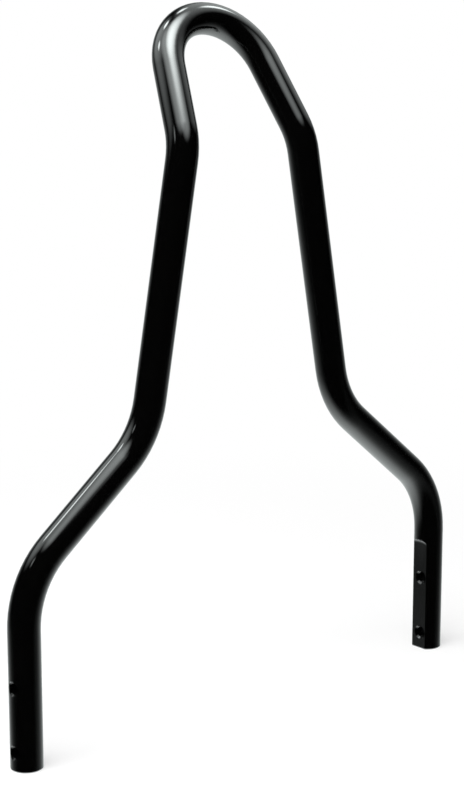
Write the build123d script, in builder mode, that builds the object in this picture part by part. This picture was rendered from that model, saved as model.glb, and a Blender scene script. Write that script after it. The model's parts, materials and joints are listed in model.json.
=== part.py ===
from build123d import *
from math import cos, radians, sin, tan
import os

# Sissy bar for a motorbike: one solid round steel bar, bent cold into a hairpin with a loop
# at its top. Its two legs straddle the rear mudguard and bolt to the outside of the struts,
# each on a milled flat with tapped holes.
# Frame: millimetres, +X to one side, +Y to the rear of the motorbike, +Z up. The origin lies
# midway between the legs, level with the middle of their holes.

# Bar stock
bar_diameter = 19.05

# Where the legs meet the struts: the gap between the two flats, and the tapped holes in each leg.
# A hole is as wide as its thread is outside, and lies a little in front of the leg's middle.
strut_span = 310.4
hole_diameter = 7.94
hole_count = 2
hole_spacing = 38.1
hole_to_end = 11.0
hole_forward = 1.0
countersink_width = 0.6
countersink_angle = 90.0

# Flats, milled on the inner side of each leg by a round-nosed face mill
flat_depth = 1.9
flat_above_holes = 23.6
mill_radius = 25.4
mill_nose_radius = 3.0

# Bends of one side, from the leg up to the loop, and the straight runs between their corners
bend_above_flat = 8.9
spread_angle = 50.8
spread_bend_radius = 57.15
lean_angle = 10.2
lean_bend_radius = 57.15
upper_run = 169.0
kick_angle = 29.2
kick_bend_radius = 38.1
loop_run = 49.4
loop_radius = 37.3

# Broken edge round the sawn end of each leg
end_chamfer = 0.6

# Places that follow from these sizes
bar_radius = bar_diameter / 2
hole_radius = hole_diameter / 2
countersink_radius = hole_radius + countersink_width
countersink_reach = countersink_radius / tan(radians(countersink_angle / 2))
flat_x = strut_span / 2
leg_x = flat_x - flat_depth + bar_radius
outer_x = leg_x + bar_radius

top_hole_z = hole_spacing * (hole_count - 1) / 2
end_z = -top_hole_z - hole_to_end
flat_top_z = top_hole_z + flat_above_holes

lean = radians(lean_angle)
spread = radians(spread_angle)
kick = radians(kick_angle)
kick_x = loop_radius * cos(lean) + loop_run * sin(lean)
lean_x = kick_x + upper_run * sin(lean)
spread_z = flat_top_z + bend_above_flat + spread_bend_radius * tan(spread / 2)
lean_z = spread_z + (leg_x - lean_x) / tan(spread)
kick_z = lean_z + upper_run * cos(lean)

# The loop lies in a plane that tips to the rear at the kick
loop_plane = Plane(origin=(0, 0, kick_z), x_dir=(1, 0, 0), z_dir=(0, -cos(kick), sin(kick)))
arc_start_x = loop_radius * cos(lean)
arc_start_rise = loop_run * cos(lean)
loop_top_rise = arc_start_rise + loop_radius * (1 - sin(lean))
arc_start = loop_plane.from_local_coords((arc_start_x, arc_start_rise, 0))
arc_end = loop_plane.from_local_coords((-arc_start_x, arc_start_rise, 0))
loop_top = loop_plane.from_local_coords((0, loop_top_rise, 0))

# The face mill, held with its axis across the legs, as it runs off the end of one leg
mill_z = flat_top_z - mill_radius + mill_nose_radius
mill_travel = mill_z - end_z + mill_radius
with BuildPart() as mill_pass:
    with BuildSketch(Plane.YZ.offset(flat_x)):
        with Locations((0, mill_z)):
            Circle(mill_radius)
            Rectangle(2 * mill_radius, mill_travel, align=(Align.CENTER, Align.MAX))
    extrude(amount=-bar_diameter)
    fillet(mill_pass.faces().sort_by(Axis.X)[-1].edges(), radius=mill_nose_radius)

# The bar, swept along its centreline, then milled, drilled and broken at its ends
with BuildPart() as sissy_bar:
    with BuildLine() as centreline:
        FilletPolyline(
            (leg_x, 0, end_z),
            (leg_x, 0, spread_z),
            (lean_x, 0, lean_z),
            (kick_x, 0, kick_z),
            arc_start,
            radius=[spread_bend_radius, lean_bend_radius, kick_bend_radius],
        )
        mirror(about=Plane.YZ)
        ThreePointArc(arc_start, loop_top, arc_end)
    with BuildSketch(Plane(origin=(leg_x, 0, end_z), x_dir=(0, 1, 0))):
        Circle(bar_radius)
    sweep()

    add(mill_pass.part, mode=Mode.SUBTRACT)
    add(mill_pass.part.mirror(Plane.YZ), mode=Mode.SUBTRACT)
    chamfer(sissy_bar.faces().filter_by(Axis.Z).group_by(Axis.Z)[0].edges(), length=end_chamfer)

    for side in (-1, 1):
        outside = Plane(origin=(side * outer_x, -hole_forward, 0), x_dir=(0, 1, 0), z_dir=(side, 0, 0))
        inside = Plane(origin=(side * flat_x, -hole_forward, 0), x_dir=(0, 1, 0), z_dir=(-side, 0, 0))
        for mouth in (outside, inside):
            # The countersink's cutter goes in to the middle of its height
            with Locations(mouth):
                with GridLocations(0, hole_spacing, 1, hole_count):
                    Cone(
                        bottom_radius=0,
                        top_radius=2 * countersink_radius,
                        height=2 * countersink_reach,
                        mode=Mode.SUBTRACT,
                    )
        with Locations(outside):
            with GridLocations(0, hole_spacing, 1, hole_count):
                Hole(radius=hole_radius, depth=bar_diameter)

sissy_bar.part.label = "sissy_bar"
os.makedirs("parts", exist_ok=True)
export_step(sissy_bar.part, "parts/sissy_bar.step")
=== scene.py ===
import json
from math import cos, pi, radians, sin, tan

import bpy
from mathutils import Matrix, Vector


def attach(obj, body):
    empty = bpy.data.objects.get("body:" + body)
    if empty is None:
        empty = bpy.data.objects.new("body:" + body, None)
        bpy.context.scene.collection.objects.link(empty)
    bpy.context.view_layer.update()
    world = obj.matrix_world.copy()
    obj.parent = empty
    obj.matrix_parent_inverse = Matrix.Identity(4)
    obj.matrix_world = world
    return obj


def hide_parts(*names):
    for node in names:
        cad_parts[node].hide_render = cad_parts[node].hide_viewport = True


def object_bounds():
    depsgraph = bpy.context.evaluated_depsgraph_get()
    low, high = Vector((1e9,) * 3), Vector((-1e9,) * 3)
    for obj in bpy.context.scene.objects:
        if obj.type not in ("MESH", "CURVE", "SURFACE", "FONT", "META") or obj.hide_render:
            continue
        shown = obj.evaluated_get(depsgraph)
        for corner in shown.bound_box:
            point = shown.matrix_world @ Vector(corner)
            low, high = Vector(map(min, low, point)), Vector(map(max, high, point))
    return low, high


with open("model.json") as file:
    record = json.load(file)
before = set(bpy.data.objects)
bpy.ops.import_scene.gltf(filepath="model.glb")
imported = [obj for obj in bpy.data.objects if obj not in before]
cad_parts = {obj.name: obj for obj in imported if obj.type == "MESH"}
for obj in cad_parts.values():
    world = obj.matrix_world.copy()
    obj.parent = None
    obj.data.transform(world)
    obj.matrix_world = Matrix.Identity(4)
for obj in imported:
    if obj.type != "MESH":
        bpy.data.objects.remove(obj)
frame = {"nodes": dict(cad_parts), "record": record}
cad_low, cad_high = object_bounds()


# The bar: one length of solid round steel, bent cold, milled and tapped at its two ends and then
# powder coated all over. The coat is thick enough to hide the steel's grain and to soften its edges.
def linear(hex_colour):
    """An sRGB colour such as #1A2B3C as the linear colour that a shader takes."""
    shares = [int(hex_colour[i:i + 2], 16) / 255 for i in (1, 3, 5)]
    return tuple(s / 12.92 if s <= 0.04045 else ((s + 0.055) / 1.055) ** 2.4 for s in shares) + (1.0,)


def node(tree, kind, settings=None, **links):
    """A node of a kind, with its own settings, and its inputs by name: a value, or a socket to link."""
    made = tree.nodes.new(kind)
    for name, value in (settings or {}).items():
        setattr(made, name, value)
    for name, value in links.items():
        socket = made.inputs[int(name[1:])] if name[1:].isdigit() else made.inputs[name.replace("_", " ")]
        if isinstance(value, bpy.types.NodeSocket):
            tree.links.new(value, socket)
        else:
            socket.default_value = value
    return made


def new_material(name):
    """An empty material, with its node tree and its output node."""
    material = bpy.data.materials.new(name)
    material.use_nodes = True
    material.node_tree.nodes.clear()
    return material, material.node_tree, material.node_tree.nodes.new("ShaderNodeOutputMaterial")


# Gloss black powder coat: a polyester resin melted on in an oven. It levels almost like lacquer, so it
# mirrors lamps with crisp edges, and only the shallow ripple called orange peel bends them a little.
coat_colour = "#030303"
coat_ior = 1.5
coat_roughness = (0.06, 0.10)
haze_width = 0.035
haze_spread = (0.35, 0.65)
peel_width = 0.0024
peel_height = 0.0000035

coat, tree, output = new_material("gloss_black_powder_coat")
place = node(tree, "ShaderNodeTexCoord").outputs["Object"]
haze = node(tree, "ShaderNodeTexNoise", Vector=place, Scale=1 / haze_width, Detail=2.0)
roughness = node(tree, "ShaderNodeMapRange", Value=haze.outputs[0], From_Min=haze_spread[0],
                 From_Max=haze_spread[1], To_Min=coat_roughness[0], To_Max=coat_roughness[1])
peel = node(tree, "ShaderNodeTexNoise", Vector=place, Scale=1 / peel_width, Detail=1.0)
ripple = node(tree, "ShaderNodeBump", Height=peel.outputs[0], Distance=peel_height, Strength=1.0)
resin = node(tree, "ShaderNodeBsdfPrincipled", Base_Color=linear(coat_colour), IOR=coat_ior,
             Roughness=roughness.outputs[0], Normal=ripple.outputs[0])
tree.links.new(resin.outputs[0], output.inputs["Surface"])

# The coat flows over the lines where straight runs meet bends, so a merged copy of the CAD bar wears it:
# it is smooth across them, and sharp only at the milled flats, the countersinks and the ends.
sharp_angle = radians(25)
merge_distance = 0.000001

bar = bpy.data.objects.new("coated_bar", frame["nodes"]["sissy_bar"].data.copy())
bpy.context.scene.collection.objects.link(bar)
bpy.ops.object.select_all(action="DESELECT")
bar.select_set(True)
bpy.context.view_layer.objects.active = bar
bpy.ops.mesh.customdata_custom_splitnormals_clear()
bpy.ops.object.mode_set(mode="EDIT")
bpy.ops.mesh.select_all(action="SELECT")
bpy.ops.mesh.remove_doubles(threshold=merge_distance)
bpy.ops.object.mode_set(mode="OBJECT")
bpy.ops.object.shade_smooth_by_angle(angle=sharp_angle)
bar.data.materials.clear()
bar.data.materials.append(coat)
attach(bar, "root")
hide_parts("sissy_bar")


# Threads: the four holes are tapped for 5/16 in bolts at 18 threads to the inch, right-handed in both
# legs. What the tap leaves standing on a bore's wall is one ridge, wound as a helix and coated too.
mounts = {mount["name"]: mount for mount in frame["record"]["mounts"]}
bolts = mounts["bolts_right"]
hole_forward = -bolts["pos_m"][1]
hole_height = bolts["dims"]["spacing_y_mm"] / 2 / 1000
flat_x = mounts["flat_right"]["pos_m"][0]
outer_x = cad_high[0]
bar_radius = 0.009525

thread_radius = bolts["dims"]["hole_r_mm"] / 1000
thread_drill_radius = 0.003373
thread_pitch = 0.0254 / 18
thread_base = thread_pitch * 7 / 8
thread_flank = radians(30)
thread_sink = 0.00005
thread_steps = 48
thread_turns = 14
thread_sharp_angle = radians(35)
countersink_width = 0.0006

core_radius = 0.0044
core_sides = 96
stock_sides = 192


def apply_modifier(piece, kind, **settings):
    """Gives a piece a modifier with its settings, and applies it."""
    modifier = piece.modifiers.new(kind.lower(), kind)
    for name, value in settings.items():
        setattr(modifier, name, value)
    bpy.context.view_layer.objects.active = piece
    bpy.ops.object.modifier_apply(modifier=modifier.name)


def fresh_primitive(adder, **sizes):
    """A new primitive, selected alone."""
    bpy.ops.object.select_all(action="DESELECT")
    adder(**sizes)
    return bpy.context.object


for side, leg in ((-1, "left"), (1, "right")):
    # The ridge's section, a square that is drawn out to the thread's trapezium, wound along the bore
    ridge = fresh_primitive(bpy.ops.mesh.primitive_plane_add, size=1.0)
    for corner in ridge.data.vertices:
        radius = thread_radius + thread_sink if corner.co.y > 0 else thread_drill_radius
        half_width = thread_base / 2 + (radius - thread_radius) * tan(thread_flank)
        along = flat_x - thread_pitch + (half_width if corner.co.x > 0 else -half_width)
        corner.co = (side * along, 0, radius)
    bpy.ops.object.mode_set(mode="EDIT")
    bpy.ops.mesh.select_all(action="SELECT")
    bpy.ops.mesh.delete(type="ONLY_FACE")
    bpy.ops.object.mode_set(mode="OBJECT")
    apply_modifier(ridge, "SCREW", axis="X", angle=side * 2 * pi, screw_offset=side * thread_pitch,
                   steps=thread_steps, render_steps=thread_steps, iterations=thread_turns)
    bpy.ops.object.mode_set(mode="EDIT")
    bpy.ops.mesh.select_all(action="SELECT")
    bpy.ops.mesh.fill_holes(sides=4)
    bpy.ops.mesh.normals_make_consistent(inside=False)
    bpy.ops.object.mode_set(mode="OBJECT")

    # What of the ridge is left: the part between the two countersinks, under the leg's round outside.
    # The core's ends are hollow cones that lie on the countersinks.
    cone_reach = thread_radius + countersink_width - core_radius
    middle = side * (flat_x + outer_x) / 2
    core = fresh_primitive(bpy.ops.mesh.primitive_cylinder_add, vertices=core_sides, radius=core_radius,
                           depth=outer_x - flat_x - 2 * cone_reach, end_fill_type="TRIFAN",
                           location=(middle, 0, 0), rotation=(0, pi / 2, 0))
    bpy.ops.object.transform_apply(location=True, rotation=True, scale=True)
    for corner in core.data.vertices:
        if Vector((corner.co.y, corner.co.z)).length < core_radius / 2:
            corner.co.x += core_radius if corner.co.x < middle else -core_radius
    stock = fresh_primitive(bpy.ops.mesh.primitive_cylinder_add, vertices=stock_sides,
                            radius=bar_radius - thread_sink, depth=4 * core_radius,
                            location=(side * (outer_x - bar_radius), hole_forward, 0))
    bpy.ops.object.transform_apply(location=True, rotation=True, scale=True)
    apply_modifier(core, "BOOLEAN", operation="INTERSECT", object=stock, solver="EXACT")
    apply_modifier(ridge, "BOOLEAN", operation="INTERSECT", object=core, solver="EXACT")
    bpy.data.objects.remove(stock)
    bpy.data.objects.remove(core)

    # One ridge for each hole of the leg, in place
    ridge.data.materials.clear()
    ridge.data.materials.append(coat)
    bpy.ops.object.select_all(action="DESELECT")
    ridge.select_set(True)
    bpy.context.view_layer.objects.active = ridge
    bpy.ops.object.mode_set(mode="EDIT")
    bpy.ops.mesh.select_all(action="SELECT")
    bpy.ops.mesh.remove_doubles(threshold=merge_distance)
    bpy.ops.mesh.dissolve_degenerate(threshold=merge_distance)
    bpy.ops.object.mode_set(mode="OBJECT")
    bpy.ops.object.shade_smooth_by_angle(angle=thread_sharp_angle)
    lower = ridge.copy()
    lower.data = ridge.data.copy()
    bpy.context.scene.collection.objects.link(lower)
    for thread, height, level in ((ridge, hole_height, "upper"), (lower, -hole_height, "lower")):
        thread.name = f"thread_{leg}_{level}"
        thread.data.transform(Matrix.Translation((0, -hole_forward, height)))
        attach(thread, "root")


# Camera: at the photograph's place and with its lens, as the bar's outlines give them. It stands to the
# left of the bar's front and a little above it.
camera_azimuth = -40.64
camera_elevation = 11.94
camera_distance = 1.188
camera_target = Vector((-0.0093, 0.0, 0.1622))
focal_pixels = 1987.6
photo_height = 800
sensor = 36.0


def toward(azimuth, elevation):
    """The way from the bar to a place: degrees round from the bar's front, and degrees up."""
    a = radians(azimuth)
    e = radians(elevation)
    return Vector((sin(a) * cos(e), -cos(a) * cos(e), sin(e)))


camera_data = bpy.data.cameras.new("camera")
camera_data.sensor_width = sensor
camera_data.lens = focal_pixels / photo_height * sensor
camera = bpy.data.objects.new("camera", camera_data)
to_camera = toward(camera_azimuth, camera_elevation)
camera.location = camera_target + to_camera * camera_distance
camera.rotation_euler = to_camera.to_track_quat("Z", "Y").to_euler()
bpy.context.scene.collection.objects.link(camera)
bpy.context.scene.camera = camera
bpy.context.scene.view_settings.view_transform = "Standard"


# Floor: a white sheet under the ends of the legs, which keeps their soft shadow and runs out into a
# white background. It stays out of the bar's reflections: the glowing shell below paints its reflection
# there.
floor_radius = 4.0
floor_sides = 96
floor_colour = "#F4F4F4"
floor_near = 0.2
floor_far = 0.7
floor_shade = 0.45


def seen_or_mirrored(tree):
    """1 for the camera's own rays and for those that come to it by gloss or glass, and 0 for the rest."""
    ray = node(tree, "ShaderNodeLightPath").outputs
    mirrored = node(tree, "ShaderNodeMath", {"operation": "MAXIMUM"}, _0=ray["Is Glossy Ray"],
                    _1=ray["Is Transmission Ray"])
    seen = node(tree, "ShaderNodeMath", {"operation": "MAXIMUM"}, _0=ray["Is Camera Ray"],
                _1=mirrored.outputs[0])
    return seen.outputs[0]


floor = fresh_primitive(bpy.ops.mesh.primitive_circle_add, vertices=floor_sides, radius=floor_radius,
                        fill_type="NGON", location=(0, 0, cad_low[2]))
floor.name = "floor"
sheet, tree, output = new_material("white_sheet")
place = node(tree, "ShaderNodeTexCoord").outputs["Object"]
from_middle = node(tree, "ShaderNodeVectorMath", {"operation": "LENGTH"}, _0=place)
shaded = node(tree, "ShaderNodeMapRange", {"interpolation_type": "SMOOTHSTEP"},
              Value=from_middle.outputs["Value"], From_Min=floor_near, From_Max=floor_far,
              To_Min=floor_shade, To_Max=0.0)
paper_and_painted_glow = node(tree, "ShaderNodeBsdfDiffuse", Color=linear(floor_colour))
white = node(tree, "ShaderNodeEmission", Strength=1.0)
share = node(tree, "ShaderNodeMixShader", Fac=shaded.outputs[0], _1=white.outputs[0], _2=paper_and_painted_glow.outputs[0])
surface = node(tree, "ShaderNodeMixShader", Fac=seen_or_mirrored(tree), _1=paper_and_painted_glow.outputs[0],
               _2=share.outputs[0])
tree.links.new(surface.outputs[0], output.inputs["Surface"])
floor.data.materials.append(sheet)
floor.visible_glossy = False


# Background: white for whoever looks at it or into its reflection, and a dim fill for the light that
# falls on the bar and the floor.
fill_strength = 0.35

world = bpy.data.worlds.new("white_background")
world.use_nodes = True
bpy.context.scene.world = world
tree = world.node_tree
tree.nodes.clear()
output = tree.nodes.new("ShaderNodeOutputWorld")
strength = node(tree, "ShaderNodeMapRange", Value=seen_or_mirrored(tree), To_Min=fill_strength, To_Max=1.0)
sky = node(tree, "ShaderNodeBackground", Color=(1, 1, 1, 1), Strength=strength.outputs[0])
tree.links.new(sky.outputs[0], output.inputs["Surface"])


# Lamp: one wide soft lamp high on the photographer's left, which lights the floor and casts the bar's
# soft shadow on it. In reflections the painted highlights further down stand for it.
lamp_from_camera = -35
lamp_elevation = 65
lamp_distance = 1.7
lamp_size = 1.2
lamp_power = 38.0

lamp_data = bpy.data.lights.new("soft_lamp", "AREA")
lamp_data.size = lamp_size
lamp_data.energy = lamp_power
lamp = bpy.data.objects.new("soft_lamp", lamp_data)
to_lamp = toward(camera_azimuth + lamp_from_camera, lamp_elevation)
lamp.location = to_lamp * lamp_distance
lamp.rotation_euler = to_lamp.to_track_quat("Z", "Y").to_euler()
lamp.visible_camera = False
lamp.visible_glossy = False
bpy.context.scene.collection.objects.link(lamp)


# Painted reflections: a glowing shell round the bar, far off, seen by reflections alone and lighting
# nothing. It paints what the gloss coat would mirror of white paper under and behind the bar: the painted
# glow is brightest below, and fades to a painted black on the camera's side.
painted_reflection_radius = 3.0
shell_segments = 96
shell_rings = 48
# The colour of the painted glow, in this shell and in the painted highlights below
painted_glow_colour = "#F8FFFE"
# A painted glow patch behind and below the bar: degrees round, degrees up, degrees to its edge, strength
painted_sweep_glow_patch = (183, -36, 82, 0.9)
# The painted glow of the paper: strength, growth downward, and where it fades to black toward the camera
painted_paper_glow = 2.2
painted_paper_glow_power = 2.3
painted_paper_glow_front = 0.46
painted_paper_glow_rear = -0.24


def mirrored_shell(name, radius, height):
    """A sphere round the bar for reflections alone: its node tree, its surface socket and the way outward."""
    shell = fresh_primitive(bpy.ops.mesh.primitive_uv_sphere_add, segments=shell_segments,
                            ring_count=shell_rings, radius=radius, location=(0, 0, height))
    shell.name = name
    shell.visible_camera = False
    shell.visible_diffuse = False
    shell.visible_shadow = False
    material, tree, output = new_material(name)
    shell.data.materials.append(material)
    place = node(tree, "ShaderNodeTexCoord").outputs["Object"]
    outward = node(tree, "ShaderNodeVectorMath", {"operation": "NORMALIZE"}, _0=place)
    return tree, output.inputs["Surface"], outward.outputs[0]


def soft_patch(tree, outward, azimuth, elevation, edge, strength):
    """A round glow: degrees round from the camera, degrees up, degrees from middle to edge, strength."""
    nearness = node(tree, "ShaderNodeVectorMath", {"operation": "DOT_PRODUCT"}, _0=outward,
                    _1=toward(camera_azimuth + azimuth, elevation))
    patch = node(tree, "ShaderNodeMapRange", {"interpolation_type": "SMOOTHSTEP"},
                 Value=nearness.outputs["Value"], From_Min=cos(radians(edge)), From_Max=1.0,
                 To_Min=0.0, To_Max=strength)
    return patch.outputs[0]


tree, surface, outward = mirrored_shell("painted_reflection_sweep", painted_reflection_radius, 0.0)
height = node(tree, "ShaderNodeSeparateXYZ", Vector=outward).outputs["Z"]
depth = node(tree, "ShaderNodeMapRange", Value=height, From_Min=0.0, From_Max=-1.0)
below = node(tree, "ShaderNodeMath", {"operation": "POWER"}, _0=depth.outputs[0], _1=painted_paper_glow_power)
front = node(tree, "ShaderNodeVectorMath", {"operation": "DOT_PRODUCT"}, _0=outward, _1=to_camera)
behind = node(tree, "ShaderNodeMapRange", {"interpolation_type": "SMOOTHSTEP"}, Value=front.outputs["Value"],
              From_Min=painted_paper_glow_front, From_Max=painted_paper_glow_rear, To_Min=0.0, To_Max=painted_paper_glow)
# The painted reflection of the paper: brightest straight down, and none on the camera's side
paper_and_painted_glow = node(tree, "ShaderNodeMath", {"operation": "MULTIPLY"}, _0=below.outputs[0], _1=behind.outputs[0])
glow = node(tree, "ShaderNodeMath", {"operation": "ADD"}, _0=paper_and_painted_glow.outputs[0],
            _1=soft_patch(tree, outward, *painted_sweep_glow_patch))
shine = node(tree, "ShaderNodeEmission", Color=linear(painted_glow_colour), Strength=glow.outputs[0])
tree.links.new(shine.outputs[0], surface)


# Painted highlights: glowing patches on a shell near the bar, seen by reflections alone too and lighting
# nothing. They paint the reflections of two soft side lights, a softbox overhead and a ring of small
# lights, whose painted specks lie on the loop's bend. Between them the painted reflections behind show
# through.
painted_highlights_radius = 0.95
painted_highlights_height = 0.29
# Each painted highlight: degrees round from the camera, degrees up, degrees from middle to edge, strength
painted_highlights = {
    "painted_left_highlight": (-104, 42, 36, 2.6),
    "painted_back_highlight": (142, 49, 40, 1.8),
    "painted_softbox_front": (42, 60, 34, 4.6),
    "painted_softbox_left": (-24, 70, 35, 5.8),
    "painted_softbox_middle": (46, 77, 28, 14.0),
    "painted_ring_speck_1": (-96, 43, 7, 14.0),
    "painted_ring_speck_2": (-130, 58, 7, 14.0),
    "painted_ring_speck_3": (-175, 60, 7, 10.0),
    "painted_ring_speck_4": (137, 51, 9, 12.0),
    "painted_kick_highlight": (-58, 27, 6, 3.0),
}

tree, surface, outward = mirrored_shell("painted_highlights", painted_highlights_radius, painted_highlights_height)
shine = node(tree, "ShaderNodeBsdfTransparent")
# Each painted highlight is a glow of the same colour, added to a shell that is otherwise clear
for highlight_name, highlight_patch in painted_highlights.items():
    highlight_shine = node(tree, "ShaderNodeEmission", {"label": highlight_name}, Color=linear(painted_glow_colour),
                      Strength=soft_patch(tree, outward, *highlight_patch))
    shine = node(tree, "ShaderNodeAddShader", _0=shine.outputs[0], _1=highlight_shine.outputs[0])
tree.links.new(shine.outputs[0], surface)
